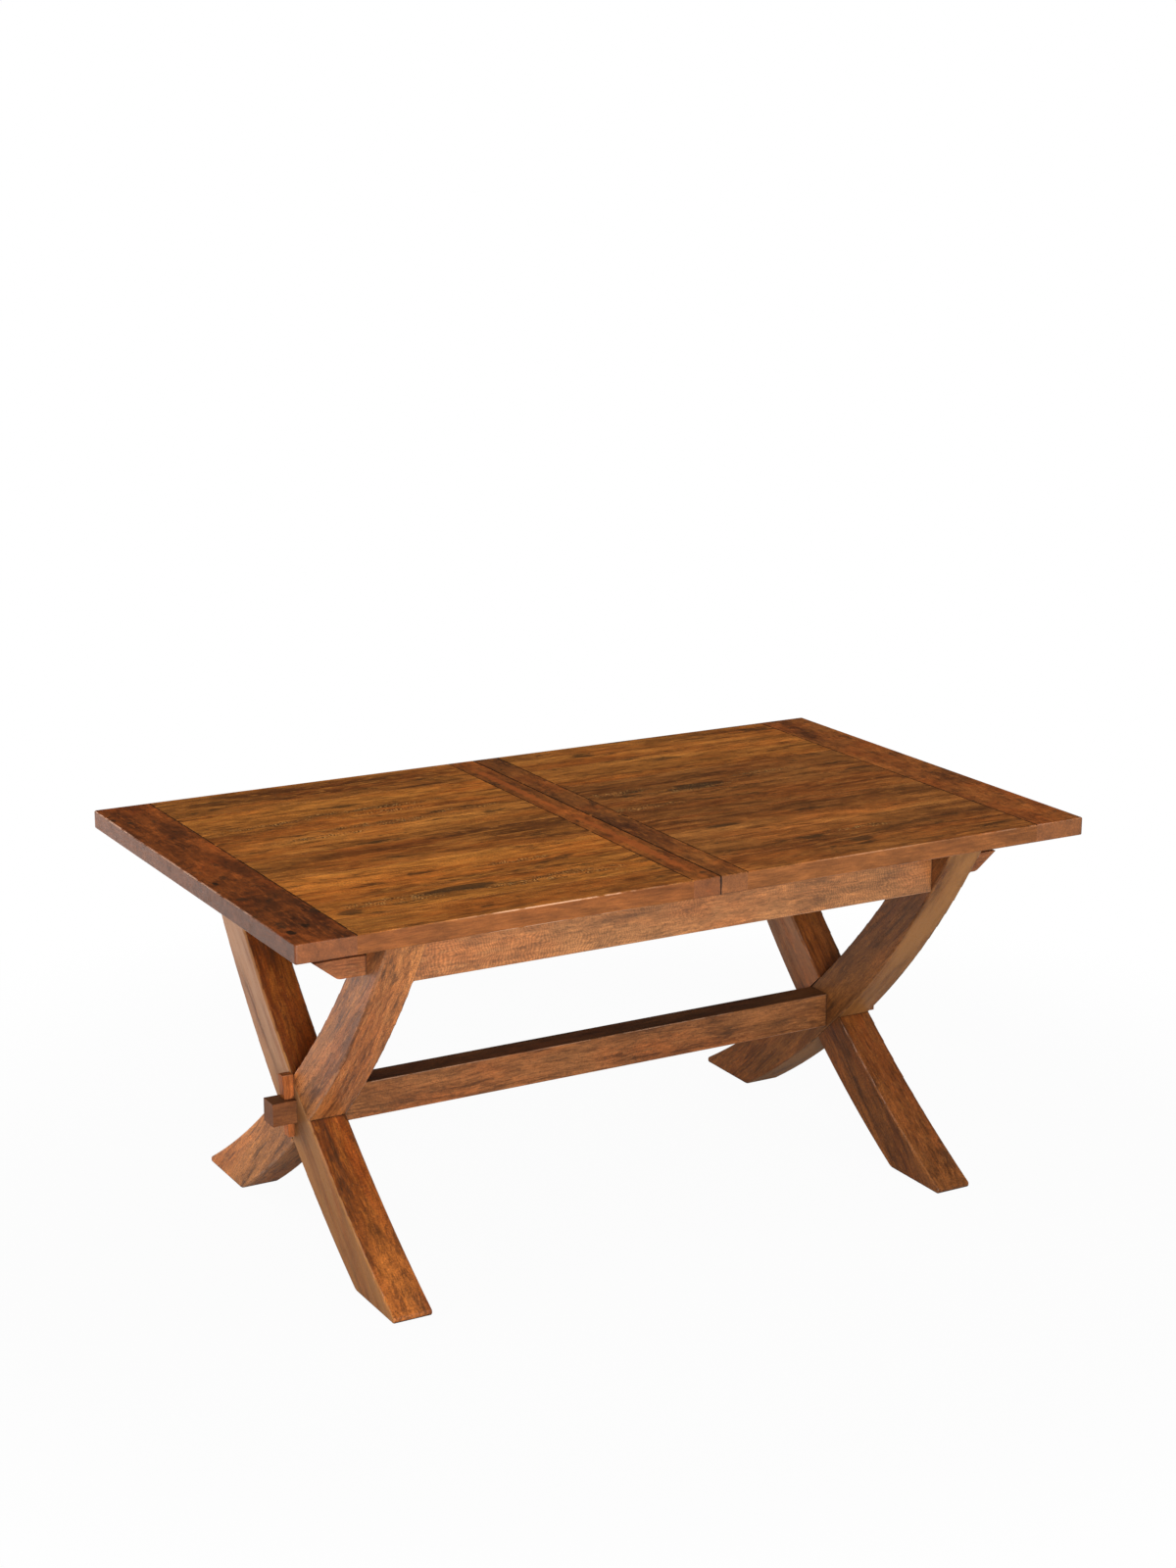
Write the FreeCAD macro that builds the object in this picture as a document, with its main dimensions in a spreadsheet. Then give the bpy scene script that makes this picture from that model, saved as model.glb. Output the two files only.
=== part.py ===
"""Extending sawbuck table of solid hardwood.

Two X trestles of bowed, half-lapped legs are tied by a stretcher with wedged through tenons and by two
aprons. The top is cut across the middle. Each half slides outwards on runners that pass through notches in
the leg heads, and a folded leaf waits on bearers under the cut.

X runs along the table, Y across it with the front at negative Y, and Z up. The origin is on the floor, at
the middle of the table. A side of -1 is the left or the front, a side of 1 the right or the back.
"""
import FreeCAD, Part
import Sketcher
import math
import os
import re

SIZES = {
    # whole table, and the play between sliding faces
    "top_length": 1700.0,
    "top_width": 1000.0,
    "table_height": 770.0,
    "slide_travel": 225.0,
    "slide_clearance": 0.4,
    # boards of the top
    "top_thickness": 36.0,
    "split_gap": 1.2,
    "end_board_width": 116.0,
    "centre_board_width": 58.0,
    "tongue_length": 14.0,
    "tongue_thickness": 12.0,
    "groove_stop": 24.0,
    "edge_round": 3.0,
    "corner_round": 5.0,
    "joint_ease": 0.8,
    # bowed legs and the crossing where they are lapped
    "leg_overhang": 200.0,
    "leg_thickness": 80.0,
    "head_cover": 70.0,
    "head_width": 98.0,
    "crossing_height": 266.5,
    "crossing_depth": 133.0,
    "toe_setback": 60.0,
    "toe_land": 0.6,
    "foot_length": 164.0,
    "heel_round": 24.0,
    "toe_round": 5.0,
    "leg_ease": 4.0,
    # aprons
    "apron_setback": 119.0,
    "apron_thickness": 30.0,
    "apron_drop": 16.0,
    "apron_tenon_length": 25.0,
    "apron_tenon_thickness": 18.0,
    "apron_tenon_depth": 54.0,
    "bar_ease": 2.5,
    # runners under the top, and the guide strips in their grooves
    "runner_thickness": 30.0,
    "runner_depth": 93.0,
    "runner_end_setback": 75.0,
    "runner_chamfer_run": 70.0,
    "runner_chamfer_rise": 54.0,
    "runner_chamfer_round": 20.0,
    "runner_end_gap": 20.0,
    "guide_depth": 9.0,
    "guide_height": 19.0,
    "guide_end_gap": 12.0,
    # stretcher, its through tenons and their tusk wedges
    "stretcher_lift": 2.5,
    "stretcher_depth": 72.0,
    "stretcher_thickness": 60.0,
    "tenon_depth": 46.0,
    "tenon_thickness": 44.0,
    "tenon_reach": 50.0,
    "wedge_head_width": 24.0,
    "wedge_foot_width": 12.4,
    "wedge_thickness": 20.0,
    "wedge_rise": 49.0,
    "wedge_drop": 33.0,
    "wedge_ease": 1.5,
    "wedge_slot_draw": 3.0,
    # bearers below the runners, and the stops on the trestle bearers
    "bearer_thickness": 23.0,
    "bearer_width": 60.0,
    "leaf_bearer_offset": 150.0,
    "stop_width": 80.0,
    "stop_length": 40.0,
    "stop_top_gap": 6.0,
    # battens across the planks
    "batten_width": 60.0,
    "batten_thickness": 18.0,
    "batten_end_gap": 2.0,
    # wood screws through the battens and the runners
    "screw_bite": 20.0,
    "screw_diameter": 5.0,
    "screw_head_diameter": 9.0,
    "screw_head_height": 3.0,
    "counterbore_diameter": 12.0,
    # dowels that line up the two halves
    "dowel_diameter": 10.0,
    "dowel_seat": 26.0,
    "dowel_reach": 14.0,
    # catches under the cut
    "catch_offset": 180.0,
    "catch_pivot_inset": 32.0,
    "catch_arm_length": 62.0,
    "catch_arm_width": 16.0,
    "catch_arm_thickness": 4.0,
    "catch_tip_diameter": 20.0,
    "catch_plate_length": 44.0,
    "catch_plate_width": 30.0,
    "catch_plate_thickness": 3.0,
    "catch_pin_diameter": 6.0,
    "catch_pin_head_diameter": 11.0,
    "catch_pin_head_height": 2.0,
    "catch_hook_clearance": 1.5,
    # folded leaf and its hinges
    "leaf_gap": 0.5,
    "leaf_headroom": 3.0,
    "leaf_ease": 1.5,
    "hinge_offset": 130.0,
    "hinge_length": 60.0,
    "hinge_leaf_height": 24.0,
    "hinge_leaf_thickness": 2.5,
    "hinge_barrel_diameter": 9.0,
}

PLACES = {
    # the table's box and the cut
    "half_length": "top_length / 2",
    "half_width": "top_width / 2",
    "under_top": "table_height - top_thickness",
    "slide_level": "under_top - slide_clearance",
    "split_face": "split_gap / 2",
    "centre_joint": "split_face + centre_board_width",
    "end_joint": "half_length - end_board_width",
    "board_middle": "table_height - top_thickness / 2",
    "tongue_bottom": "board_middle - tongue_thickness / 2",
    "tongue_top": "board_middle + tongue_thickness / 2",
    # trestles
    "leg_outer": "half_length - leg_overhang",
    "leg_inner": "leg_outer - leg_thickness",
    "trestle_middle": "leg_outer - leg_thickness / 2",
    "head_outer_reach": "apron_outer + head_cover",
    "head_inner_reach": "head_outer_reach - head_width",
    "arch_height": "crossing_height - crossing_depth / 2",
    "crotch_height": "crossing_height + crossing_depth / 2",
    "toe_reach": "half_width - toe_setback",
    "toe_height": "2 * toe_round + toe_land",
    "heel_reach": "toe_reach - foot_length",
    # aprons, runners and notches, from the outside of the table inwards and from the top down
    "apron_outer": "half_width - apron_setback",
    "apron_inner": "apron_outer - apron_thickness",
    "apron_middle": "apron_outer - apron_thickness / 2",
    "apron_bottom": "notch_floor - apron_drop",
    "apron_depth": "slide_level - apron_bottom",
    "apron_axis": "slide_level - apron_depth / 2",
    "runner_outer": "apron_inner - slide_clearance",
    "runner_inner": "runner_outer - runner_thickness",
    "runner_bottom": "under_top - runner_depth",
    "runner_end": "half_length - runner_end_setback",
    "runner_start": "runner_end_gap / 2",
    "guide_axis": "under_top - runner_depth / 2",
    "guide_face": "apron_inner - guide_depth",
    "runner_web": "(runner_inner + guide_face - slide_clearance) / 2",
    "notch_floor": "runner_bottom - slide_clearance",
    # stretcher and wedge
    "stretcher_axis": "crossing_height + stretcher_lift",
    "tenon_bottom": "stretcher_axis - tenon_depth / 2",
    "tenon_top": "stretcher_axis + tenon_depth / 2",
    "wedge_foot": "tenon_bottom - wedge_drop",
    "wedge_head": "tenon_top + wedge_rise",
    "wedge_face": "leg_outer + slide_clearance",
    # bearers, stops, and the battens that meet the stops at the end of the travel
    "bearer_outer": "trestle_middle + bearer_width / 2",
    "stop_face": "bearer_outer - stop_length",
    "batten_bottom": "under_top - batten_thickness",
    "batten_outer": "stop_face - slide_clearance - slide_travel",
    "batten_inner": "batten_outer - batten_width",
    "batten_end": "runner_inner - batten_end_gap",
    # catches
    "keeper_place": "catch_arm_length - catch_pivot_inset",
    "catch_plate_bottom": "under_top - catch_plate_thickness",
    "catch_arm_top": "catch_plate_bottom - slide_clearance",
    "catch_arm_bottom": "catch_arm_top - catch_arm_thickness",
    "catch_pin_bottom": "catch_arm_bottom - slide_clearance",
    "catch_foot": "catch_pin_bottom - catch_pin_head_height",
    "catch_hook_half": "catch_pin_diameter / 2 + catch_hook_clearance",
    # folded leaf, below the runners and the catches
    "leaf_half_length": "half_width / 2 - leaf_gap / 2",
    "leaf_seat": "min(notch_floor; catch_foot - leaf_headroom - leaf_gap - 2 * top_thickness)",
    "leaf_fold": "leaf_seat + top_thickness",
    "leaf_top": "leaf_fold + leaf_gap + top_thickness",
}

# Widths of the planks from the back of the table to the front, as shares of the table's width.
PLANK_SHARES = {
    "left": (0.148, 0.152, 0.192, 0.143, 0.162, 0.103, 0.100),
    "right": (0.145, 0.148, 0.162, 0.152, 0.175, 0.118, 0.100),
}
# Places of the screws along a batten, as shares of its length from its middle, and along a runner, as shares
# of the planks' length from the centre board outwards.
BATTEN_SCREW_SHARES = (-0.4, -0.2, 0.0, 0.2, 0.4)
RUNNER_SCREW_SHARES = (0.05, 0.33, 0.62, 0.9)
# Places of the dowels across the table, as shares of its width.
DOWEL_SHARES = (-0.4, -0.12, 0.12, 0.4)

SIDES = {"left": -1, "right": 1}
FACES = {"front": -1, "back": 1}

doc = FreeCAD.newDocument("sawbuck_table")
sheet = doc.addObject("Spreadsheet::Sheet", "Sizes")
for row, (name, size) in enumerate(SIZES.items(), 1):
    sheet.set(f"A{row}", name)
    sheet.set(f"B{row}", str(size))
    sheet.setAlias(f"B{row}", name)
doc.recompute()
pieces = {}


def formula(text):
    """Writes a formula of size and place names as an expression on the sheet's cells."""
    def swap(match):
        word = match.group()
        if word in PLACES:
            return f"({formula(PLACES[word])})"
        return f"Sizes.{word}" if word in SIZES else word
    return re.sub(r"[a-z]+(?:_[a-z]+)*", swap, text)


def value(text):
    return float(sheet.evalExpression(formula(text)))


def same(first, second):
    return math.isclose(first, second, rel_tol=1e-6)


def mirrored(side, near, far):
    """The low and high ends of a stretch that lies between near and far on one side of the middle."""
    return (near, far) if side > 0 else (f"-({far})", f"-({near})")


def keep(label, shape):
    shape.Label = label
    pieces[label] = shape
    return shape


def block(x, y, z):
    """A box, with its low and high ends along each axis."""
    box = doc.addObject("Part::Box", "block")
    for size, axis, (low, high) in zip(("Length", "Width", "Height"), "xyz", (x, y, z)):
        box.setExpression(size, formula(f"({high}) - ({low})"))
        box.setExpression(f"Placement.Base.{axis}", formula(low))
    return box


def rod(diameter, length, place, along="z"):
    """A round bar that starts at a place and runs along the z or the x axis."""
    bar = doc.addObject("Part::Cylinder", "rod")
    bar.setExpression("Radius", formula(f"({diameter}) / 2"))
    bar.setExpression("Height", formula(length))
    turn = 90 if along == "x" else 0
    bar.Placement = FreeCAD.Placement(FreeCAD.Vector(), FreeCAD.Rotation(FreeCAD.Vector(0, 1, 0), turn))
    for axis, start in zip("xyz", place):
        bar.setExpression(f"Placement.Base.{axis}", formula(start))
    return bar


def fused(shapes):
    if len(shapes) == 1:
        return shapes[0]
    whole = doc.addObject("Part::MultiFuse", "fused")
    whole.Shapes = shapes
    return whole


def group(shapes):
    together = doc.addObject("Part::Compound", "group")
    together.Links = shapes
    return together


def cut(base, tools):
    part = doc.addObject("Part::Cut", "cut")
    part.Base = base
    part.Tool = fused(tools)
    return part


def outline(body, role, offset, corners, bows=None):
    """A closed sketch on one of the body's planes; bows gives the middle of each side that is an arc."""
    bows = bows or {}
    sketch = body.newObject("Sketcher::SketchObject", "outline")
    plane = next(feature for feature in body.Origin.OriginFeatures if feature.Role == role)
    sketch.AttachmentSupport = [(plane, "")]
    sketch.MapMode = "FlatFace"
    sketch.setExpression("AttachmentOffset.Base.z", formula(offset))

    def place(corner):
        return FreeCAD.Vector(value(corner[0]), value(corner[1]), 0)

    def drive(geometry, end, corner):
        for kind, text in zip(("DistanceX", "DistanceY"), corner):
            index = sketch.addConstraint(Sketcher.Constraint(kind, geometry, end, value(text)))
            sketch.setExpression(f"Constraints[{index}]", formula(text))

    ends = []
    for side, corner in enumerate(corners):
        start = place(corner)
        finish = place(corners[(side + 1) % len(corners)])
        if side in bows:
            sketch.addGeometry(Part.Arc(start, place(bows[side]), finish))
        else:
            sketch.addGeometry(Part.LineSegment(start, finish))
        ends.append(sorted((1, 2), key=lambda end: start.distanceToPoint(sketch.getPoint(side, end))))
    for side, corner in enumerate(corners):
        first, last = ends[side]
        following = (side + 1) % len(corners)
        sketch.addConstraint(Sketcher.Constraint("Coincident", side, last, following, ends[following][0]))
        drive(side, first, corner)
    for side, middle in bows.items():
        point = sketch.addGeometry(Part.Point(place(middle)), True)
        drive(point, 1, middle)
        sketch.addConstraint(Sketcher.Constraint("PointOnObject", point, 1, side))
    return sketch


def pad(body, sketch, length, both_ways=False):
    feature = body.newObject("PartDesign::Pad", "pad")
    feature.Profile = sketch
    feature.SideType = "Symmetric" if both_ways else "One side"
    feature.setExpression("Length", formula(length))
    return feature


def pocket(body, sketch, length):
    """Cuts an outline out of the body, the same way on both sides of its plane."""
    feature = body.newObject("PartDesign::Pocket", "pocket")
    feature.Profile = sketch
    feature.SideType = "Symmetric"
    feature.setExpression("Length", formula(length))
    return feature


def ease(body, kind, size, chosen):
    """Rounds (Fillet) or bevels (Chamfer) the edges of the body that chosen picks by their vertices."""
    doc.recompute()
    base = body.Tip
    edges = base.Shape.Edges
    names = [f"Edge{number}" for number, edge in enumerate(edges, 1) if chosen(edge)]
    feature = body.newObject(f"PartDesign::{kind}", kind.lower())
    feature.Base = (base, names)
    feature.setExpression("Radius" if kind == "Fillet" else "Size", formula(size))
    return feature


def all_at(edge, axis, places):
    """Whether each vertex of the edge lies at one of the places along an axis, on either side of it."""
    reaches = [abs(getattr(vertex, axis)) for vertex in edge.Vertexes]
    return all(any(same(reach, place) for place in places) for reach in reaches)


def runs_level(edge, heights):
    """Whether the edge lies level, at one of the heights."""
    return any(all_at(edge, "Z", (height,)) for height in heights)


def on_rim(edge):
    """Whether the edge runs along the outer rim of the top or round one of its corners."""
    middle = edge.valueAt((edge.FirstParameter + edge.LastParameter) / 2)
    rounded = not isinstance(edge.Curve, Part.Line)
    return rounded or same(abs(middle.x), value("half_length")) or same(abs(middle.y), value("half_width"))


def ease_board(body):
    """Bevels a board's joints on the show side and rounds its edges on the rim of the top."""
    show = value("table_height")
    rim_heights = (show, value("under_top"))
    ease(body, "Chamfer", "joint_ease", lambda edge: runs_level(edge, (show,)) and not on_rim(edge))
    doc.recompute()
    if any(runs_level(edge, rim_heights) and on_rim(edge) for edge in body.Tip.Shape.Edges):
        ease(body, "Fillet", "edge_round", lambda edge: runs_level(edge, rim_heights) and on_rim(edge))


def plank(side, back, width):
    """A long board with a tongue on each end; its outline lies along the table and is padded across it."""
    body = doc.addObject("PartDesign::Body", "plank")
    corners = [
        ("centre_joint", "under_top"), ("end_joint", "under_top"),
        ("end_joint", "tongue_bottom"), ("end_joint + tongue_length", "tongue_bottom"),
        ("end_joint + tongue_length", "tongue_top"), ("end_joint", "tongue_top"),
        ("end_joint", "table_height"), ("centre_joint", "table_height"),
        ("centre_joint", "tongue_top"), ("centre_joint - tongue_length", "tongue_top"),
        ("centre_joint - tongue_length", "tongue_bottom"), ("centre_joint", "tongue_bottom"),
    ]
    turned = [(f"{side} * ({x})", z) for x, z in corners]
    pad(body, outline(body, "XZ_Plane", f"-({back})", turned), width)
    ease_board(body)
    return body


def cross_board(side, joint, outer_face, groove_end):
    """A board across the planks' ends; the groove for their tongues stops short of the rim."""
    body = doc.addObject("PartDesign::Body", "cross_board")

    def section(inner, outer, bottom, top):
        corners = [(inner, bottom), (outer, bottom), (outer, top), (inner, top)]
        return outline(body, "XZ_Plane", "0", [(f"{side} * ({x})", z) for x, z in corners])

    pad(body, section(joint, outer_face, "under_top", "table_height"), "top_width", both_ways=True)
    if joint == "end_joint":
        end = (value("half_length"),)
        rim = (value("half_width"),)
        ease(body, "Fillet", "corner_round", lambda edge: all_at(edge, "X", end) and all_at(edge, "Y", rim)
             and not same(*[vertex.Z for vertex in edge.Vertexes]))
    ease_board(body)
    pocket(body, section(joint, groove_end, "tongue_bottom", "tongue_top"), "top_width - 2 * groove_stop")
    return body


def tongue_stops(side):
    """The ends of the outer planks' tongues that are sawn off where the grooves stop."""
    reaches = (("end_joint", "end_joint + tongue_length"), ("centre_joint - tongue_length", "centre_joint"))
    return [block(mirrored(side, near, far), mirrored(face, "half_width - groove_stop", "half_width"),
                  ("tongue_bottom", "tongue_top"))
            for near, far in reaches for face in FACES.values()]


def wood_screws(side):
    """Screws up through the batten and both runners of one half, all with their heads at one level."""
    spots = [(f"{side} * (batten_inner + batten_width / 2)", f"{share} * 2 * batten_end")
             for share in BATTEN_SCREW_SHARES]
    spots += [(f"{side} * (centre_joint + {share} * (end_joint - centre_joint))", f"{face} * runner_web")
              for face in FACES.values() for share in RUNNER_SCREW_SHARES]
    screws = []
    access = []
    for x, y in spots:
        head = rod("screw_head_diameter", "screw_head_height", (x, y, "batten_bottom"))
        shank = rod("screw_diameter", "batten_thickness + screw_bite", (x, y, "batten_bottom"))
        screws.append(fused([head, shank]))
        if "runner_web" in y:
            depth = "batten_bottom - runner_bottom"
            access.append(rod("counterbore_diameter", depth, (x, y, "runner_bottom")))
    return group(screws), access


def runner(side, face, screws, access):
    """A bar under one half of the top, bevelled at its outer end and grooved for the guide strip."""
    body = doc.addObject("PartDesign::Body", "runner")
    corners = [
        ("runner_start", "runner_bottom"), ("runner_end - runner_chamfer_run", "runner_bottom"),
        ("runner_end", "runner_bottom + runner_chamfer_rise"), ("runner_end", "under_top"),
        ("runner_start", "under_top"),
    ]
    turned = [(f"{side} * ({x})", z) for x, z in corners]
    low, high = mirrored(face, "runner_inner", "runner_outer")
    pad(body, outline(body, "XZ_Plane", f"-({high})", turned), "runner_thickness")
    bevel_start = (value("runner_end - runner_chamfer_run"),)
    ease(body, "Fillet", "runner_chamfer_round", lambda edge: all_at(edge, "X", bevel_start))
    groove_half = "guide_height / 2 + slide_clearance"
    groove = block(
        ("-half_length", "half_length"),
        mirrored(face, "guide_face - slide_clearance", "apron_outer"),
        (f"guide_axis - ({groove_half})", f"guide_axis + {groove_half}"),
    )
    return cut(body, [groove, screws] + access)


def tenoned_bar(middle, bar, bar_reach, tenon, tenon_reach):
    """A bar along X with a thinner tenon through its length; bar and tenon are (thickness, depth)."""
    body = doc.addObject("PartDesign::Body", "tenoned_bar")
    for (thickness, depth), reach in ((bar, bar_reach), (tenon, tenon_reach)):
        across = [f"{middle[0]} - {thickness} / 2", f"{middle[0]} + {thickness} / 2"]
        up = [f"{middle[1]} - {depth} / 2", f"{middle[1]} + {depth} / 2"]
        corners = [(across[0], up[0]), (across[1], up[0]), (across[1], up[1]), (across[0], up[1])]
        pad(body, outline(body, "YZ_Plane", "0", corners), f"2 * ({reach})", both_ways=True)
        if bar_reach == reach:
            ends = value(f"2 * ({reach})")
            ease(body, "Fillet", "bar_ease", lambda edge: same(edge.Length, ends))
    return body


def leg_corners(lean):
    """A leg seen along the table: a lean of 1 has its head at the front and its foot at the back."""
    corners = [
        (f"{lean} * heel_reach", "0"), (f"{-lean} * head_outer_reach", "slide_level"),
        (f"{-lean} * head_inner_reach", "slide_level"), (f"{lean} * toe_reach", "toe_height"),
        (f"{lean} * toe_reach", "0"),
    ]
    return corners, {0: ("0", "arch_height"), 2: ("0", "crotch_height")}


def leg(side, lean, lapped_face, joints):
    """A bowed leg, halved on its lapped face where the other leg crosses, notched for the runner."""
    body = doc.addObject("PartDesign::Body", "leg")
    low_face = mirrored(side, "leg_inner", "leg_outer")[0]
    corners, bows = leg_corners(lean)
    pad(body, outline(body, "YZ_Plane", low_face, corners, bows), "leg_thickness")
    faces = (value("leg_inner"), value("leg_outer"))

    def along_face(edge):
        return any(all_at(edge, "X", (face,)) for face in faces)

    heel = (value("heel_reach"),)
    toe = (value("toe_reach"),)
    head = (value("slide_level"),)
    ease(body, "Fillet", "heel_round", lambda edge: all_at(edge, "Y", heel))
    ease(body, "Fillet", "toe_round", lambda edge: all_at(edge, "Y", toe) and not along_face(edge))
    ease(body, "Chamfer", "leg_ease", lambda edge: runs_level(edge, head) and not along_face(edge))
    ease(body, "Fillet", "leg_ease", lambda edge: isinstance(edge.Curve, Part.Circle) and along_face(edge))
    corners, bows = leg_corners(-lean)
    pocket(body, outline(body, "YZ_Plane", f"{side} * ({lapped_face})", corners, bows), "leg_thickness")
    cheek = f"{-lean} * apron_inner"
    notch = [(cheek, "notch_floor"), ("0", "notch_floor"), ("0", "table_height"), (cheek, "table_height")]
    pocket(body, outline(body, "YZ_Plane", f"{side} * trestle_middle", notch), "2 * leg_thickness")
    return cut(body, joints)


def wedge_shape(side, inner_face, play, thickness, name):
    """A tapered key, seen from the front; play widens it to make its slot."""
    body = doc.addObject("PartDesign::Body", name)
    corners = [
        (inner_face, "wedge_foot"), (f"wedge_face + wedge_foot_width + {play}", "wedge_foot"),
        (f"wedge_face + wedge_head_width + {play}", "wedge_head"), (inner_face, "wedge_head"),
    ]
    turned = [(f"{side} * ({x})", z) for x, z in corners]
    pad(body, outline(body, "XZ_Plane", "0", turned), thickness, both_ways=True)
    return body


def catch_lever(face):
    """A flat lever that turns on its pin; its hook opens towards the cut while it lies along it."""
    pivot = ("-catch_pivot_inset", f"{face} * catch_offset")
    tip = f"{face} * (catch_offset - catch_arm_length)"
    height = ("catch_arm_bottom", "catch_arm_top")
    half = "catch_arm_width / 2"
    arm = block((f"{pivot[0]} - {half}", f"{pivot[0]} + {half}"),
                mirrored(face, "catch_offset - catch_arm_length", "catch_offset"), height)
    ends = [rod("catch_tip_diameter", "catch_arm_thickness", (pivot[0], y, height[0]))
            for y in (pivot[1], tip)]
    bore = rod("catch_pin_diameter + 2 * slide_clearance", "catch_arm_thickness", (*pivot, height[0]))
    hook = block((f"{pivot[0]} - catch_hook_half", "split_face"),
                 (f"{tip} - catch_hook_half", f"{tip} + catch_hook_half"), height)
    return cut(fused([arm] + ends), [bore, hook])


def catch_pin(x, face, head):
    """A plate under the top with a pin down from it; the pivot pin has a head below the lever."""
    y = f"{face} * catch_offset"
    plate = block((f"{x} - catch_plate_width / 2", f"{x} + catch_plate_width / 2"),
                  (f"{y} - catch_plate_length / 2", f"{y} + catch_plate_length / 2"),
                  ("catch_plate_bottom", "under_top"))
    solids = [plate, rod("catch_pin_diameter", "under_top - catch_pin_bottom", (x, y, "catch_pin_bottom"))]
    if head:
        solids.append(rod("catch_pin_head_diameter", "catch_pin_head_height", (x, y, "catch_foot")))
    return fused(solids)


def leaf_panel(bottom, top):
    body = doc.addObject("PartDesign::Body", "leaf_panel")
    reach = "slide_travel"
    corners = [(f"-{reach}", bottom), (reach, bottom), (reach, top), (f"-{reach}", top)]
    pad(body, outline(body, "XZ_Plane", "0", corners), "2 * leaf_half_length", both_ways=True)
    ease(body, "Chamfer", "leaf_ease", lambda edge: runs_level(edge, (value(bottom), value(top))))
    return body


def leaf_hinge(side):
    """A butt hinge shut flat on the back edges of the two leaf panels, its barrel on the fold."""
    x = (f"{side} * hinge_offset - hinge_length / 2", f"{side} * hinge_offset + hinge_length / 2")
    fold = "leaf_fold + leaf_gap / 2"
    plate = block(x, ("leaf_half_length", "leaf_half_length + hinge_leaf_thickness"),
                  (f"{fold} - hinge_leaf_height", f"{fold} + hinge_leaf_height"))
    barrel = rod("hinge_barrel_diameter", "hinge_length",
                 (x[0], "leaf_half_length + hinge_barrel_diameter / 2", fold), "x")
    return fused([plate, barrel])


# The two halves of the top: boards, runners, battens and their screws.
dowels = group([rod("dowel_diameter", "dowel_seat + dowel_reach + split_gap",
                    ("-split_face - dowel_seat", f"{share} * top_width", "board_middle"), "x")
                for share in DOWEL_SHARES])
dowel_holes = group([rod("dowel_diameter + 2 * slide_clearance", "split_gap + dowel_reach + slide_clearance",
                         ("-split_face", f"{share} * top_width", "board_middle"), "x")
                     for share in DOWEL_SHARES])
keep("split_dowels", dowels)
for half, side in SIDES.items():
    screws, access = wood_screws(side)
    keep(f"{half}_screws", screws)
    end_board = cross_board(side, "end_joint", "half_length", "end_joint + tongue_length")
    keep(f"{half}_end_board", end_board)
    centre_board = cross_board(side, "centre_joint", "split_face", "centre_joint - tongue_length")
    keep(f"{half}_centre_board", cut(centre_board, [dowels if side < 0 else dowel_holes]))
    behind = 0.0
    stops = tongue_stops(side)
    for number, share in enumerate(PLANK_SHARES[half], 1):
        board = plank(side, f"(0.5 - {behind:.3f}) * top_width", f"{share} * top_width")
        outermost = number in (1, len(PLANK_SHARES[half]))
        keep(f"{half}_plank_{number}", cut(board, [screws] + stops if outermost else [screws]))
        behind += share
    for edge, face in FACES.items():
        keep(f"{half}_{edge}_runner", runner(side, face, screws, access))
    batten = block(mirrored(side, "batten_inner", "batten_outer"), ("-batten_end", "batten_end"),
                   ("batten_bottom", "under_top"))
    keep(f"{half}_batten", cut(batten, [screws]))

# The catches that lock the halves together: pivots on the left half, keepers on the right.
keep("catch_pivots", group([catch_pin("-catch_pivot_inset", face, True) for face in FACES.values()]))
keep("catch_keepers", group([catch_pin("keeper_place", face, False) for face in FACES.values()]))
for edge, face in FACES.items():
    keep(f"{edge}_catch", catch_lever(face))

# The long members of the base: aprons with their guide strips, and the stretcher.
aprons = {}
for edge, face in FACES.items():
    tenon = ("apron_tenon_thickness", "apron_tenon_depth")
    aprons[face] = tenoned_bar((f"{face} * apron_middle", "apron_axis"), ("apron_thickness", "apron_depth"),
                               "leg_inner", tenon, "leg_inner + apron_tenon_length")
    keep(f"{edge}_apron", aprons[face])
    strip = block(("guide_end_gap - leg_inner", "leg_inner - guide_end_gap"),
                  mirrored(face, "guide_face", "apron_inner"),
                  ("guide_axis - guide_height / 2", "guide_axis + guide_height / 2"))
    keep(f"{edge}_guide_strip", strip)
stretcher = tenoned_bar(("0", "stretcher_axis"), ("stretcher_thickness", "stretcher_depth"), "leg_inner",
                        ("tenon_thickness", "tenon_depth"), "leg_outer + tenon_reach")
slots = [wedge_shape(side, "leg_outer - wedge_slot_draw", "slide_clearance",
                     "wedge_thickness + 2 * slide_clearance", "slot") for side in SIDES.values()]
keep("stretcher", cut(stretcher, slots))

# The trestles: legs lapped in pairs, their bearers and stops, and the wedges that lock the stretcher.
for half, side in SIDES.items():
    bearer = block(mirrored(side, "bearer_outer - bearer_width", "bearer_outer"),
                   ("-runner_inner", "runner_inner"), ("notch_floor - bearer_thickness", "notch_floor"))
    keep(f"{half}_trestle_bearer", bearer)
    stop = block(mirrored(side, "stop_face", "bearer_outer"),
                 ("-stop_width / 2", "stop_width / 2"), ("notch_floor", "under_top - stop_top_gap"))
    keep(f"{half}_stop_block", stop)
    keep(f"{half}_back_foot_leg", leg(side, 1, "leg_outer", [stretcher, aprons[-1], bearer]))
    keep(f"{half}_front_foot_leg", leg(side, -1, "leg_inner", [stretcher, aprons[1], bearer]))
    wedge = wedge_shape(side, "wedge_face", "0", "wedge_thickness", "wedge")
    ends = (value("wedge_foot"), value("wedge_head"))
    ease(wedge, "Chamfer", "wedge_ease", lambda edge: runs_level(edge, ends))
    keep(f"{half}_wedge", wedge)

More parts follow.
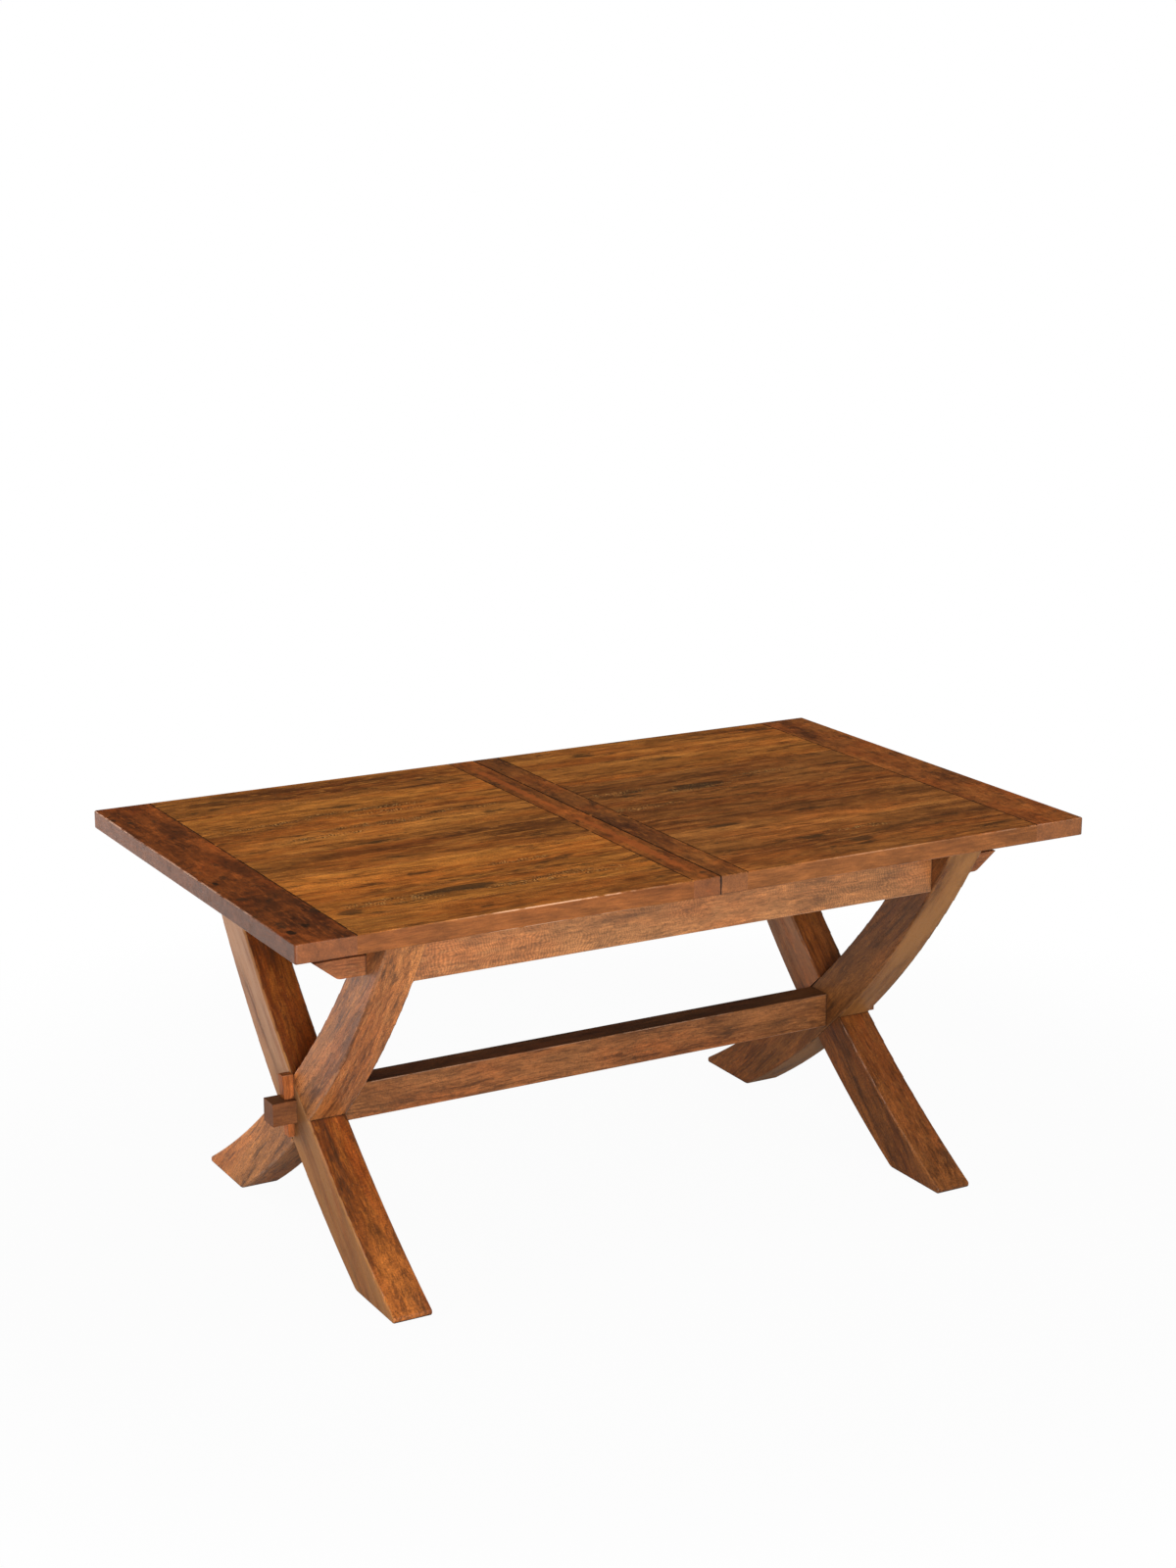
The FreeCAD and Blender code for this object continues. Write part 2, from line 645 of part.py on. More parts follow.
# The folded leaf and the bearers it lies on.
for half, side in SIDES.items():
    leaf_bearer = block((f"{side} * leaf_bearer_offset - bearer_width / 2",
                         f"{side} * leaf_bearer_offset + bearer_width / 2"),
                        ("-apron_inner", "apron_inner"), ("leaf_seat - bearer_thickness", "leaf_seat"))
    keep(f"{half}_leaf_bearer", leaf_bearer)
keep("leaf_lower_panel", leaf_panel("leaf_seat", "leaf_fold"))
keep("leaf_upper_panel", leaf_panel("leaf_fold + leaf_gap", "leaf_top"))
keep("leaf_hinges", group([leaf_hinge(side) for side in SIDES.values()]))

doc.recompute()
for item in doc.Objects:
    if "Invalid" in item.State or "Error" in item.State:
        raise RuntimeError(f"{item.Label} did not recompute: {item.State}")
for label, piece in pieces.items():
    if piece.Shape.isNull() or not piece.Shape.isValid() or not piece.Shape.Solids:
        raise RuntimeError(f"{label} has no sound solid")

os.makedirs("parts", exist_ok=True)
for label, piece in pieces.items():
    piece.Shape.exportStep(f"parts/{label}.step")
print(f"{len(pieces)} pieces")
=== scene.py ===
import math

import bpy
from mathutils import Euler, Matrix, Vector


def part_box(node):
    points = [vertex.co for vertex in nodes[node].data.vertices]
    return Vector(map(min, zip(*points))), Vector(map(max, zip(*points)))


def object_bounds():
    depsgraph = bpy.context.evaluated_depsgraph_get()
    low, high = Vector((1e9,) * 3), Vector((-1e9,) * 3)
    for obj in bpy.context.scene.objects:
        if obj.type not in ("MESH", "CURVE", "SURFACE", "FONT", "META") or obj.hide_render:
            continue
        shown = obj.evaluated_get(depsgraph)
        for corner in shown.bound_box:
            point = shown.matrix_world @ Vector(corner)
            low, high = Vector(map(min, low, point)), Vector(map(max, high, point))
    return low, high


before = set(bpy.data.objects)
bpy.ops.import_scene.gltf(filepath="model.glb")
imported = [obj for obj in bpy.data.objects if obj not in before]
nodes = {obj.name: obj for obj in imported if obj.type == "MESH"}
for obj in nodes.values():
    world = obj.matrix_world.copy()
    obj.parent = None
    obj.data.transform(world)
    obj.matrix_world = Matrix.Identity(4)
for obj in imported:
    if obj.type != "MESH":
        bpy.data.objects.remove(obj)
cad_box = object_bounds()

# Trestle legs: four bowed legs sawn from thick hardwood plank, half lapped in crossing pairs.
# The grain runs straight along each leg's chord. They are sanded, stained warm brown and waxed, so they take
# a soft sheen;
# a painted sheen also greys their flat sides towards the head, and their arrises are painted paler, partly
# worn and partly a painted highlight.


def put(tree, kind, inputs=None, **settings):
    """Adds a shader node and fills its inputs with plain values or with other nodes' sockets."""
    new = tree.nodes.new("ShaderNode" + kind)
    for key, value in settings.items():
        setattr(new, key, value)
    for key, value in (inputs or {}).items():
        if isinstance(value, bpy.types.NodeSocket):
            tree.links.new(value, new.inputs[key])
        else:
            new.inputs[key].default_value = value
    return new


def math_of(tree, operation, *values):
    """Gives the result of one math node."""
    return put(tree, "Math", dict(enumerate(values)), operation=operation).outputs[0]


def smooth_step(tree, value, low, high):
    """Gives 0 below low and 1 above high, with an eased ramp between them."""
    ends = {"Value": value, "From Min": low, "From Max": high}
    return put(tree, "MapRange", ends, interpolation_type="SMOOTHSTEP").outputs["Result"]


def blend_colours(tree, share, first, second, blend="MIX"):
    """Gives the first colour, taken towards the second by a share."""
    mix = put(tree, "Mix", {0: share, 6: first, 7: second}, data_type="RGBA", blend_type=blend)
    return mix.outputs[2]


def grain_noise(tree, vector, along, across, detail=2.0, roughness=0.5, shift=0.0):
    """Gives noise drawn out along the grain, with so many features to the metre along and across it."""
    drawn = put(tree, "VectorMath", {0: vector, 1: (along, across, across), 2: (shift, shift, shift)},
                operation="MULTIPLY_ADD")
    noise = put(tree, "TexNoise", {"Vector": drawn.outputs[0], "Scale": 1.0, "Detail": detail,
                                   "Roughness": roughness})
    return noise.outputs["Fac"]


def brightened(tree, colour, value, darkest, brightest):
    """Gives a colour scaled between two levels by a noise value."""
    level = put(tree, "MapRange", {"Value": value, "From Min": 0.25, "From Max": 0.75, "To Min": darkest,
                                   "To Max": brightest}).outputs["Result"]
    return put(tree, "VectorMath", {0: colour, 3: level}, operation="SCALE").outputs[0]


STREAK_BROWN = (0.045, 0.014, 0.004, 1.0)
MINERAL_GREY = (0.028, 0.016, 0.007, 1.0)
BLACK_MARKS_AND_SHADE = (0.014, 0.007, 0.003, 1.0)
PORE_BROWN = (0.035, 0.017, 0.008, 1.0)
RED_CAST = (1.10, 0.85, 0.68, 1.0)
TORN_CREAM = (0.66, 0.35, 0.11, 1.0)
# Each layer of the figure: its features to the metre along and across the grain, and its place in the noise.
TONE_BANDS = dict(along=1.1, across=11.0, detail=3.0, roughness=0.6)
CLOUDS = dict(along=14.0, across=40.0, detail=4.0, roughness=0.65, shift=13.7)
WARM_PATCHES = dict(along=2.5, across=9.0, detail=3.0, roughness=0.6, shift=33.3)
STREAKS = dict(along=4.5, across=48.0, detail=4.0, roughness=0.68, shift=3.7)
THIN_LINES = dict(along=8.0, across=140.0, detail=3.0, roughness=0.6, shift=23.1)
FIBRES = dict(along=18.0, across=300.0, detail=2.0, roughness=0.6, shift=9.1)
FLECKS = dict(along=26.0, across=170.0, detail=2.0, roughness=0.5, shift=61.0)
SPECKS = dict(along=85.0, across=300.0, detail=2.0, roughness=0.6, shift=87.0)
MINERAL_MARKS = dict(along=6.0, across=28.0, detail=5.0, roughness=0.75, shift=17.3)
TICK_SLANTS = dict(along=26.0, across=80.0, detail=3.0, roughness=0.65, shift=5.5)
TICK_BREAKS = dict(along=55.0, across=150.0, detail=3.0, roughness=0.65, shift=27.0)
SMOKE = dict(along=11.0, across=42.0, detail=3.0, roughness=0.6, shift=15.0)
CURL_FLOW = dict(along=10.0, across=22.0, detail=3.0, roughness=0.55, shift=53.0)
CURL_PATCHES = dict(along=3.0, across=15.0, detail=2.0, roughness=0.5, shift=41.0)
PORES = dict(along=190.0, across=850.0, detail=1.0, roughness=0.5, shift=71.0)
# The grain's sway to each side: its features to the metre along and across, and its width in metres.
LONG_SWEEP = (1.6, 5.0, 0.045)
SMALL_WAVE = (9.0, 18.0, 0.012)
# Torn ticks and curl repeat along the board, and growth rings across its end. A pitch or a lean is in
# radians to the metre and a wander in radians. The pith lies this many metres off the board's middle.
TICK_PITCH, TICK_LEAN, TICK_WANDER = 820.0, 200.0, 30.0
CURL_PITCH, CURL_WANDER = 1000.0, 70.0
RING_PITCH = 1250.0
PITH_OFFSET = (0.0, 0.021, 0.034)
KNOTS_TO_THE_METRE = (4.5, 9.0, 9.0)


def make_wood_figure():
    """Builds the shared group for the wood's figure, on coordinates whose X runs along the grain."""
    tree = bpy.data.node_groups.new("wood_figure", "ShaderNodeTree")
    face = tree.interface
    for name in ("Vector", "Facing"):
        face.new_socket(name, in_out="INPUT", socket_type="NodeSocketVector")
    for name in ("Pale", "Middle", "Deep", "Edge tint", "End tint"):
        face.new_socket(name, in_out="INPUT", socket_type="NodeSocketColor")
    for name in ("Shortness", "Streaks", "Blotches", "Chatter", "Curl", "Pores", "Knots", "Ends", "Tinting"):
        face.new_socket(name, in_out="INPUT", socket_type="NodeSocketFloat")
    face.new_socket("Colour", in_out="OUTPUT", socket_type="NodeSocketColor")
    face.new_socket("Roughness", in_out="OUTPUT", socket_type="NodeSocketFloat")
    face.new_socket("Height", in_out="OUTPUT", socket_type="NodeSocketFloat")
    given = tree.nodes.new("NodeGroupInput").outputs

    # The grain wanders to each side along the board, in long sweeps and in small waves.
    grain = given["Vector"]
    for along, across, sway in (LONG_SWEEP, SMALL_WAVE):
        drawn = put(tree, "VectorMath", {0: given["Vector"], 1: (along, across, across)},
                    operation="MULTIPLY")
        drift = put(tree, "TexNoise", {"Vector": drawn.outputs[0], "Scale": 1.0, "Detail": 2.0})
        centred = put(tree, "VectorMath", {0: drift.outputs["Color"], 1: (0.5, 0.5, 0.5)},
                      operation="SUBTRACT")
        grain = put(tree, "VectorMath", {0: centred.outputs[0], 1: (0.0, sway, sway), 2: grain},
                    operation="MULTIPLY_ADD").outputs[0]
    short = put(tree, "CombineXYZ", {0: given["Shortness"], 1: 1.0, 2: 1.0}).outputs[0]
    figure = put(tree, "VectorMath", {0: grain, 1: short}, operation="MULTIPLY").outputs[0]

    # Broad bands of tone, then clouds, dark and pale streaks, thin dark lines, fibre and pale flecks.
    tone = grain_noise(tree, figure, **TONE_BANDS)
    colour = blend_colours(tree, smooth_step(tree, tone, 0.28, 0.50), given["Deep"], given["Middle"])
    colour = blend_colours(tree, smooth_step(tree, tone, 0.50, 0.74), colour, given["Pale"])
    cloud = grain_noise(tree, figure, **CLOUDS)
    colour = brightened(tree, colour, cloud, 0.52, 1.48)
    warmth = smooth_step(tree, grain_noise(tree, figure, **WARM_PATCHES), 0.42, 0.64)
    colour = blend_colours(tree, math_of(tree, "MULTIPLY", warmth, 0.7), colour, RED_CAST, blend="MULTIPLY")
    streak = grain_noise(tree, figure, **STREAKS)
    dark_streak = math_of(tree, "MULTIPLY", smooth_step(tree, streak, 0.53, 0.64), given["Streaks"])
    pale_streak = math_of(tree, "MULTIPLY", smooth_step(tree, streak, 0.46, 0.36), given["Streaks"])
    line = smooth_step(tree, grain_noise(tree, figure, **THIN_LINES), 0.57, 0.64)
    dark_line = math_of(tree, "MULTIPLY", line, given["Streaks"])
    colour = blend_colours(tree, math_of(tree, "MULTIPLY", pale_streak, 0.60), colour, given["Pale"])
    colour = blend_colours(tree, math_of(tree, "MULTIPLY", dark_streak, 0.60), colour, STREAK_BROWN)
    colour = blend_colours(tree, math_of(tree, "MULTIPLY", dark_line, 0.60), colour, STREAK_BROWN)
    fibre = grain_noise(tree, grain, **FIBRES)
    colour = brightened(tree, colour, fibre, 0.66, 1.34)
    fleck = smooth_step(tree, grain_noise(tree, grain, **FLECKS), 0.58, 0.66)
    colour = blend_colours(tree, math_of(tree, "MULTIPLY", fleck, 0.5), colour, given["Pale"])
    speck = grain_noise(tree, grain, **SPECKS)
    colour = brightened(tree, colour, speck, 0.75, 1.25)

    # Grey-brown mineral marks, drawn out along the grain.
    mark = grain_noise(tree, figure, **MINERAL_MARKS)
    mark = math_of(tree, "MULTIPLY", smooth_step(tree, mark, 0.565, 0.65), given["Blotches"])
    colour = blend_colours(tree, math_of(tree, "MULTIPLY", mark, 0.85), colour, MINERAL_GREY)

    # Chatter: rows of short ticks across the grain, where it rolls and the plane has torn it.
    along = put(tree, "SeparateXYZ", {0: grain}).outputs
    slant = math_of(tree, "MULTIPLY_ADD", grain_noise(tree, grain, **TICK_SLANTS), TICK_WANDER,
                    math_of(tree, "MULTIPLY", along["Y"], TICK_LEAN))
    roll = math_of(tree, "SINE", math_of(tree, "MULTIPLY_ADD", along["X"], TICK_PITCH, slant))
    broken = grain_noise(tree, grain, **TICK_BREAKS)
    dark_tick = math_of(tree, "MULTIPLY", smooth_step(tree, roll, 0.10, 0.65),
                        smooth_step(tree, broken, 0.46, 0.57))
    pale_tick = math_of(tree, "MULTIPLY", smooth_step(tree, roll, 0.0, -0.5),
                        smooth_step(tree, broken, 0.50, 0.62))
    dark_tick = math_of(tree, "MULTIPLY", dark_tick, given["Chatter"])
    pale_tick = math_of(tree, "MULTIPLY", pale_tick, given["Chatter"])
    smoky = smooth_step(tree, grain_noise(tree, grain, **SMOKE), 0.42, 0.60)
    smoky = math_of(tree, "MULTIPLY", math_of(tree, "MULTIPLY", smoky, given["Chatter"]), 0.55)
    colour = blend_colours(tree, smoky, colour, MINERAL_GREY)
    colour = blend_colours(tree, math_of(tree, "MULTIPLY", pale_tick, 0.55), colour, TORN_CREAM)
    colour = blend_colours(tree, math_of(tree, "MULTIPLY", dark_tick, 0.9), colour, BLACK_MARKS_AND_SHADE)

    # Curl: fine flowing ripples across the grain, in patches.
    flow = math_of(tree, "MULTIPLY", grain_noise(tree, grain, **CURL_FLOW), CURL_WANDER)
    ripple = math_of(tree, "SINE", math_of(tree, "MULTIPLY_ADD", along["X"], CURL_PITCH, flow))
    curly = smooth_step(tree, grain_noise(tree, figure, **CURL_PATCHES), 0.38, 0.58)
    ripple = math_of(tree, "MULTIPLY", math_of(tree, "MULTIPLY", ripple, curly), given["Curl"])
    ripple_tone = math_of(tree, "MULTIPLY_ADD", ripple, 0.2, 1.0)
    colour = put(tree, "VectorMath", {0: colour, 3: ripple_tone}, operation="SCALE").outputs[0]

    # Open pores and small tight knots.
    pore = smooth_step(tree, grain_noise(tree, grain, **PORES), 0.60, 0.67)
    pore = math_of(tree, "MULTIPLY", pore, given["Pores"])
    colour = blend_colours(tree, math_of(tree, "MULTIPLY", pore, 0.75), colour, PORE_BROWN)
    drawn_knots = put(tree, "VectorMath", {0: grain, 1: KNOTS_TO_THE_METRE}, operation="MULTIPLY")
    cells = put(tree, "TexVoronoi", {"Vector": drawn_knots.outputs[0], "Scale": 1.0})
    knot = math_of(tree, "MULTIPLY", smooth_step(tree, cells.outputs["Distance"], 0.13, 0.04), given["Knots"])
    colour = blend_colours(tree, math_of(tree, "MULTIPLY", knot, 0.9), colour, BLACK_MARKS_AND_SHADE)

    # Sawn edges and end grain take their own tint, mostly from the stain, though the cross boards' mauve side
    # tint is partly a painted reflection, and end grain shows the growth rings.
    turned = put(tree, "SeparateXYZ", {0: given["Facing"]}).outputs
    edge = smooth_step(tree, math_of(tree, "ABSOLUTE", turned["Y"]), 0.70, 0.95)
    end_grain = smooth_step(tree, math_of(tree, "ABSOLUTE", turned["X"]), 0.70, 0.95)
    pith = put(tree, "VectorMath", {0: grain, 1: (0.0, 1.0, 1.0), 2: PITH_OFFSET},
               operation="MULTIPLY_ADD")
    radius = put(tree, "VectorMath", {0: pith.outputs[0]}, operation="LENGTH").outputs["Value"]
    ring = math_of(tree, "SINE", math_of(tree, "MULTIPLY", radius, RING_PITCH))
    ring_tone = math_of(tree, "MULTIPLY", math_of(tree, "MULTIPLY_ADD", ring, 0.1, 1.0), given["Ends"])
    end_colour = put(tree, "VectorMath", {0: colour, 3: ring_tone}, operation="SCALE").outputs[0]
    colour = blend_colours(tree, end_grain, colour, end_colour)

    tint = blend_colours(tree, end_grain, given["Edge tint"], given["End tint"])
    tint = brightened(tree, brightened(tree, tint, cloud, 0.62, 1.38), fibre, 0.74, 1.26)
    tint = blend_colours(tree, math_of(tree, "MULTIPLY", pore, 0.6), tint, PORE_BROWN)
    tinted = math_of(tree, "MULTIPLY", math_of(tree, "MAXIMUM", edge, end_grain), given["Tinting"])
    colour = blend_colours(tree, tinted, colour, tint)

    dull = math_of(tree, "ADD", math_of(tree, "MULTIPLY", pore, 0.2), math_of(tree, "MULTIPLY", mark, 0.12))
    rough = math_of(tree, "ADD", math_of(tree, "MULTIPLY_ADD", fibre, 0.24, 0.32), dull)
    torn = math_of(tree, "MULTIPLY_ADD", dark_tick, -0.35, math_of(tree, "MULTIPLY", pore, -0.35))
    height = math_of(tree, "ADD", math_of(tree, "MULTIPLY_ADD", fibre, 0.25, torn),
                     math_of(tree, "MULTIPLY", ripple, 0.1))
    put_out = tree.nodes.new("NodeGroupOutput").inputs
    for name, socket in (("Colour", colour), ("Roughness", rough), ("Height", height)):
        tree.links.new(socket, put_out[name])
    return tree


RIM_WIDTH, RIM_FADE = 0.008, 0.003
RIM_END, RIM_SIDE = cad_box[1][0] - RIM_WIDTH, cad_box[1][1] - RIM_WIDTH
CREVICE_SHADE_REACH = 0.008


def make_rub_highlight_and_shade():
    """Builds the shared group for rounded arrises painted paler, partly worn and partly a painted highlight,
    and for painted shade in the creases where pieces meet.
    """
    tree = bpy.data.node_groups.new("rub_highlight_and_shade", "ShaderNodeTree")
    face = tree.interface
    for name in ("Vector", "Facing"):
        face.new_socket(name, in_out="INPUT", socket_type="NodeSocketVector")
    face.new_socket("Rim only", in_out="INPUT", socket_type="NodeSocketFloat")
    face.new_socket("Rub and highlight", in_out="OUTPUT", socket_type="NodeSocketFloat")
    face.new_socket("Crevice shade", in_out="OUTPUT", socket_type="NodeSocketFloat")
    given = tree.nodes.new("NodeGroupInput").outputs
    turned = put(tree, "SeparateXYZ", {0: given["Facing"]}).outputs

    def arris(lean):
        squared = math_of(tree, "MULTIPLY", lean, lean)
        upright = math_of(tree, "SQRT", math_of(tree, "SUBTRACT", 1.0, squared))
        between = math_of(tree, "MINIMUM", math_of(tree, "ABSOLUTE", lean), upright)
        return smooth_step(tree, between, 0.15, 0.45)

    # Rounded arrises are painted paler, partly worn and partly a painted highlight, in patches along the
    # edge.
    round_edge = math_of(tree, "MAXIMUM", arris(turned["Y"]),
                         math_of(tree, "MULTIPLY", arris(turned["X"]), given["Rim only"]))
    out = put(tree, "SeparateXYZ", {0: given["Vector"]}).outputs
    at_end = smooth_step(tree, math_of(tree, "ABSOLUTE", out["X"]), RIM_END, RIM_END + RIM_FADE)
    at_side = smooth_step(tree, math_of(tree, "ABSOLUTE", out["Y"]), RIM_SIDE, RIM_SIDE + RIM_FADE)
    level = smooth_step(tree, math_of(tree, "ABSOLUTE", turned["Z"]), 0.15, 0.40)
    at_rim = math_of(tree, "MULTIPLY", math_of(tree, "MAXIMUM", at_end, at_side), level)
    kept = put(tree, "Mix", {0: given["Rim only"], 2: 1.0, 3: at_rim}).outputs[0]
    round_edge = math_of(tree, "MULTIPLY", round_edge, kept)
    uneven = put(tree, "TexNoise", {"Vector": given["Vector"], "Scale": 45.0, "Detail": 3.0}).outputs["Fac"]
    lengths = put(tree, "TexNoise", {"Vector": given["Vector"], "Scale": 3.5, "Detail": 2.0}).outputs["Fac"]
    handled = math_of(tree, "MULTIPLY", smooth_step(tree, uneven, 0.30, 0.55),
                      smooth_step(tree, lengths, 0.36, 0.60))
    rub = math_of(tree, "MULTIPLY", round_edge, handled)
    # Painted shade: ambient occlusion within this reach darkens creases and the lines where pieces meet.
    shelter = put(tree, "AmbientOcclusion", {"Distance": CREVICE_SHADE_REACH}, samples=4).outputs["AO"]
    put_out = tree.nodes.new("NodeGroupOutput").inputs
    tree.links.new(rub, put_out["Rub and highlight"])
    tree.links.new(smooth_step(tree, shelter, 0.80, 0.45), put_out["Crevice shade"])
    return tree


rub_highlight_and_shade = make_rub_highlight_and_shade()
wood_figure = make_wood_figure()
ALONG_X = (0.0, 0.0, 0.0)
ALONG_Y = (0.0, 0.0, -math.pi / 2)
ALONG_Z = (0.0, math.pi / 2, 0.0)
LOG_STEP = (1.37, 0.83, 0.59)
RUB_HIGHLIGHT_TONE = (0.74, 0.50, 0.36)
FIBRE_RELIEF = 0.0012


def wood(name, turn, seed, pale, middle, deep, sheen=0.3, rub_highlight=0.5, rim=None, **figure):
    """Makes one board's own wood: its grain direction, its place in the log, its tones and its figure."""
    material = bpy.data.materials.new(name)
    material.use_nodes = True
    tree = material.node_tree
    shader = tree.nodes["Principled BSDF"]
    coordinates = put(tree, "TexCoord").outputs
    log = put(tree, "Mapping", {"Vector": coordinates["Object"], "Rotation": turn,
                                "Location": tuple(seed * step for step in LOG_STEP)})
    facing = put(tree, "Mapping", {"Vector": coordinates["Normal"], "Rotation": turn},
                 vector_type="NORMAL")
    board = put(tree, "Group", node_tree=wood_figure, name="figure")
    tree.links.new(log.outputs["Vector"], board.inputs["Vector"])
    tree.links.new(facing.outputs["Vector"], board.inputs["Facing"])
    amounts = {"Shortness": 1.0, "Streaks": 0.7, "Blotches": 0.5, "Chatter": 0.0, "Curl": 0.3, "Pores": 0.5,
               "Knots": 0.0, "Ends": 0.6, "Tinting": 0.0}
    if rim:
        amounts["Tinting"] = 0.85
        board.inputs["Edge tint"].default_value = (*rim[0], 1.0)
        board.inputs["End tint"].default_value = (*rim[1], 1.0)
    amounts.update({key.capitalize(): value for key, value in figure.items()})
    for key, value in amounts.items():
        board.inputs[key].default_value = value
    for key, value in (("Pale", pale), ("Middle", middle), ("Deep", deep)):
        board.inputs[key].default_value = (*value, 1.0)
    rub_light_and_shade = put(tree, "Group", {"Vector": coordinates["Object"], "Facing": facing.outputs["Vector"],
                               "Rim only": 1.0 if rim else 0.0}, node_tree=rub_highlight_and_shade).outputs
    # Rounded arrises go towards a paler tone, partly worn and partly a painted highlight; creases where
    # pieces meet go towards near black as painted shade.
    highlight_tone = [0.5 * own + 0.5 * paler for own, paler in zip(pale, RUB_HIGHLIGHT_TONE)]
    worn_highlight = math_of(tree, "MULTIPLY", rub_light_and_shade["Rub and highlight"], rub_highlight)
    colour = blend_colours(tree, worn_highlight, board.outputs["Colour"], (*highlight_tone, 1.0))
    colour = blend_colours(tree, math_of(tree, "MULTIPLY", rub_light_and_shade["Crevice shade"], 0.85), colour, BLACK_MARKS_AND_SHADE)
    bump = put(tree, "Bump", {"Height": board.outputs["Height"], "Strength": 0.35, "Distance": FIBRE_RELIEF})
    tree.links.new(colour, shader.inputs["Base Color"])
    tree.links.new(board.outputs["Roughness"], shader.inputs["Roughness"])
    tree.links.new(bump.outputs["Normal"], shader.inputs["Normal"])
    shader.inputs["Specular IOR Level"].default_value = sheen
    return material


def dress(node, material):
    """Gives a CAD piece its finish."""
    nodes[node].material_slots[0].material = material


LEG_SLOPE = math.radians(44.0)
leg_looks = {
    "left_front_foot_leg": (11, (0.36, 0.108, 0.016), (0.21, 0.054, 0.008), (0.085, 0.022, 0.005), 0.4),
    "left_back_foot_leg": (12, (0.52, 0.200, 0.056), (0.38, 0.138, 0.036), (0.19, 0.066, 0.017), 0.6),
    "right_front_foot_leg": (13, (0.25, 0.083, 0.017), (0.16, 0.050, 0.010), (0.068, 0.020, 0.005), 0.3),
    "right_back_foot_leg": (14, (0.20, 0.073, 0.018), (0.130, 0.045, 0.011), (0.058, 0.019, 0.005), 0.3),
}
# Painted sheen: the grey of a leg's flat sides towards its head, and the heights where it starts and is full.
SHEEN_GREY = (0.36, 0.19, 0.105, 1.0)
SHEEN_START, SHEEN_END = 0.20, 0.42
SAPWOOD = (0.40, 0.176, 0.050, 1.0)
LONG_STREAKS = dict(along=3.0, across=32.0, detail=5.0, roughness=0.6)


def lay_over(material, share, colour):
    """Lays a colour over the wood's own colour by a share."""
    tree = material.node_tree
    base = tree.nodes["Principled BSDF"].inputs["Base Color"]
    tree.links.new(blend_colours(tree, share, base.links[0].from_socket, colour), base)


def streaked(material, low, high):
    """Gives a mask in long streaks along the grain of a piece."""
    tree = material.node_tree
    along_grain = tree.nodes["figure"].inputs["Vector"].links[0].from_socket
    return smooth_step(tree, grain_noise(tree, along_grain, **LONG_STREAKS), low, high)


def paint_sheen_towards_head(material, amount):
    """Paints a sheen on the flat sides of a leg: greyer towards its head, as a painted reflection."""
    tree = material.node_tree
    coordinates = put(tree, "TexCoord").outputs
    height = put(tree, "SeparateXYZ", {0: coordinates["Object"]}).outputs["Z"]
    sideways = put(tree, "SeparateXYZ", {0: coordinates["Normal"]}).outputs["X"]
    flat = smooth_step(tree, math_of(tree, "ABSOLUTE", sideways), 0.80, 0.97)
    share = math_of(tree, "MULTIPLY", smooth_step(tree, height, SHEEN_START, SHEEN_END),
                    streaked(material, 0.25, 0.60))
    share = math_of(tree, "MULTIPLY", math_of(tree, "MULTIPLY", share, flat), amount)
    lay_over(material, share, SHEEN_GREY)


def show_sapwood(material, side):
    """Leaves paler sapwood on the front face (Y) or the left face (X) of a leg."""
    tree = material.node_tree
    forward = put(tree, "SeparateXYZ", {0: put(tree, "TexCoord").outputs["Normal"]}).outputs[side]
    share = math_of(tree, "MULTIPLY", smooth_step(tree, forward, -0.35, -0.60),
                    streaked(material, 0.20, 0.65))
    lay_over(material, math_of(tree, "MULTIPLY", share, 0.7), SAPWOOD)


for leg, (seed, pale, middle, deep, sheen) in leg_looks.items():
    slope = LEG_SLOPE if "front_foot" in leg else -LEG_SLOPE
    # The left legs' arrises get a stronger painted highlight.
    rub_highlight = 0.3 if "left" in leg else 0.1
    timber = wood(leg, (-slope, 0.0, -math.pi / 2), seed, pale, middle, deep, sheen=sheen, rub_highlight=rub_highlight,
                  shortness=0.6, streaks=0.85, blotches=0.45, pores=0.9, curl=0.5)
    if leg == "left_front_foot_leg":
        show_sapwood(timber, "X")
    if leg == "right_back_foot_leg":
        show_sapwood(timber, "Y")
    # Painted sheen on the front-foot legs' flat sides, strongest on the left.
    if "front_foot" in leg:
        paint_sheen_towards_head(timber, 0.8 if "left" in leg else 0.3)
    dress(leg, timber)

# Trestle bearers and stop blocks: sawn rails housed between the leg heads, with a block screwed on
# each. They stay under the top, so they are plainly sanded and stained.
BEARER_TONES = ((0.24, 0.09, 0.032), (0.18, 0.065, 0.022), (0.10, 0.034, 0.012))
for side, seed in (("left", 21), ("right", 23)):
    for shift, piece in enumerate(("trestle_bearer", "stop_block")):
        name = f"{side}_{piece}"
        dress(name, wood(name, ALONG_Y, seed + shift, *BEARER_TONES, sheen=0.25))

# Stretcher and tusk wedges: one long square bar with a tenon through each crossing, drawn tight by
# a tapered wedge of brighter heartwood that is tapped down through the tenon.
STRETCHER_TONES = ((0.31, 0.118, 0.037), (0.22, 0.079, 0.023), (0.105, 0.035, 0.010))
TENON_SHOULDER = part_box("right_front_foot_leg")[1][0]
SHOULDER_FADE = 0.004
TENON_BROWN = (0.10, 0.028, 0.008, 1.0)
TOP_SHADE_BROWN = (0.030, 0.012, 0.005, 1.0)
WEDGE_TONES = ((0.36, 0.118, 0.030), (0.27, 0.080, 0.017), (0.15, 0.042, 0.009))
stretcher_wood = wood("stretcher", ALONG_X, 31, *STRETCHER_TONES, streaks=0.8, blotches=0.5, pores=0.7,
                      ends=0.9)
tree = stretcher_wood.node_tree
coordinates = put(tree, "TexCoord").outputs
out = math_of(tree, "ABSOLUTE", put(tree, "SeparateXYZ", {0: coordinates["Object"]}).outputs["X"])
